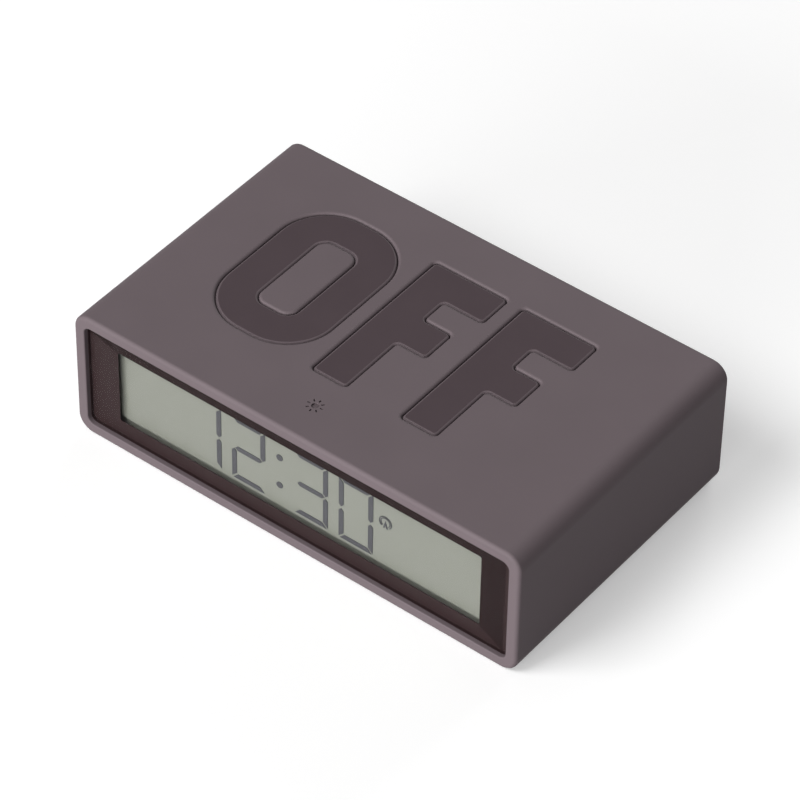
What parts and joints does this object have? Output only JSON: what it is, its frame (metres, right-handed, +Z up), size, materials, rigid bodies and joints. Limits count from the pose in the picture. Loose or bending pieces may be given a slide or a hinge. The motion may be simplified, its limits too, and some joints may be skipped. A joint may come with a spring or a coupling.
{
  "type": "desk alarm clock",
  "caption": "Flat reversible desk alarm clock: a liquid crystal display behind a recessed window, block-letter switch legends on both faces, setting keys and a hinged battery door behind.",
  "frame": {"origin": "on the surface that the clock stands on, under the middle of the case", "axes": "+X to the right of someone facing the display, +Y to the back, +Z up"},
  "size_m": [0.105, 0.065, 0.0298],
  "materials": {
    "soft_touch_shell": "soft-touch coating, fine grain",
    "legend_inlay": "satin, darker than the shell",
    "clear_window": "clear, polished",
    "mask_print": "printed, seen through the lens",
    "dark_plastic": "moulded, satin",
    "panel_plastic": "moulded, fine texture",
    "key_plastic": "moulded, satin",
    "natural_plastic": "moulded, bare",
    "lcd_glass": "thin, polished",
    "lcd_film": "grey-green film, satin",
    "lcd_ink": "dark liquid crystal",
    "seal_glue": "cured glue",
    "zebra_rubber": "striped conductive rubber",
    "light_guide": "clear acrylic with a dot pattern",
    "white_film": "white reflector sheet",
    "lamp": "moulded lamp body",
    "circuit_board": "solder-masked laminate",
    "black_resin": "cured resin drop",
    "steel": "plated",
    "ferrite": "sintered, dull",
    "copper": "enamelled wire and foil",
    "cell_sleeve": "printed sleeve on a metal can",
    "red_wire": "insulated wire",
    "black_wire": "insulated wire",
    "ribbon_film": "flat cable film",
    "brass_plate": "rolled",
    "ceramic": "fired disc"
  },
  "bodies": {
    "case": {"outer_sleeve": "soft_touch_shell", "top_inlay_o": "legend_inlay", "top_inlay_f_left": "legend_inlay", "top_inlay_f_right": "legend_inlay", "bottom_inlay_o": "legend_inlay", "bottom_inlay_n": "legend_inlay", "front_lens": "clear_window", "lens_mask": "mask_print", "display_bezel": "dark_plastic", "lcd_front_polariser": "lcd_film", "lcd_front_glass": "lcd_glass", "lcd_seal": "seal_glue", "lcd_segments": "lcd_ink", "lcd_rear_glass": "lcd_glass", "lcd_rear_polariser": "lcd_film", "light_guide": "light_guide", "backlight_reflector": "white_film", "backlight_leds": "lamp", "zebra_strip": "zebra_rubber", "main_board": "circuit_board", "controller_chip": "black_resin", "quartz_crystal": "steel", "tilt_switch_can": "steel", "tilt_switch_plug": "dark_plastic", "antenna_rod": "ferrite", "antenna_coil": "copper", "touch_electrode_top": "copper", "touch_electrode_bottom": "copper", "inner_chassis": "natural_plastic", "frame_screws": "steel", "battery_upper": "cell_sleeve", "battery_lower": "cell_sleeve", "battery_link_contact": "steel", "battery_positive_contact": "steel", "battery_negative_contact": "steel", "battery_lead_positive": "red_wire", "battery_lead_negative": "black_wire", "rear_panel": "panel_plastic", "panel_screws": "steel", "key_board": "circuit_board", "snap_domes": "steel", "key_board_screws": "steel", "ribbon_cable": "ribbon_film", "ribbon_connectors": "natural_plastic", "buzzer_plate": "brass_plate", "buzzer_ceramic": "ceramic"},
    "door": {"battery_door": "panel_plastic"},
    "up_key": {"key_up": "key_plastic"},
    "down_key": {"key_down": "key_plastic"},
    "time_key": {"key_time": "key_plastic"},
    "alarm_key": {"key_alarm": "key_plastic"},
    "rolling_ball": {"tilt_ball": "steel"}
  },
  "joints": [
    {"name": "door_hinge", "type": "hinge", "parent": "case", "child": "door", "pos_m": [-0.0426, 0.03065, 0.0149], "axis": [0, 0, 1], "range_deg": [0, 95]},
    {"name": "up_key_press", "type": "slide", "parent": "case", "child": "up_key", "axis": [0, -1, 0], "range_m": [0, 0.0006], "stiffness_N_per_m": 1500},
    {"name": "down_key_press", "type": "slide", "parent": "case", "child": "down_key", "axis": [0, -1, 0], "range_m": [0, 0.0006], "stiffness_N_per_m": 1500},
    {"name": "time_key_press", "type": "slide", "parent": "case", "child": "time_key", "axis": [0, -1, 0], "range_m": [0, 0.0006], "stiffness_N_per_m": 1500},
    {"name": "alarm_key_press", "type": "slide", "parent": "case", "child": "alarm_key", "axis": [0, -1, 0], "range_m": [0, 0.0006], "stiffness_N_per_m": 1500},
    {"name": "ball_roll", "type": "slide", "parent": "case", "child": "rolling_ball", "axis": [0, 0, 1], "range_m": [0, 0.0026]}
  ]
}
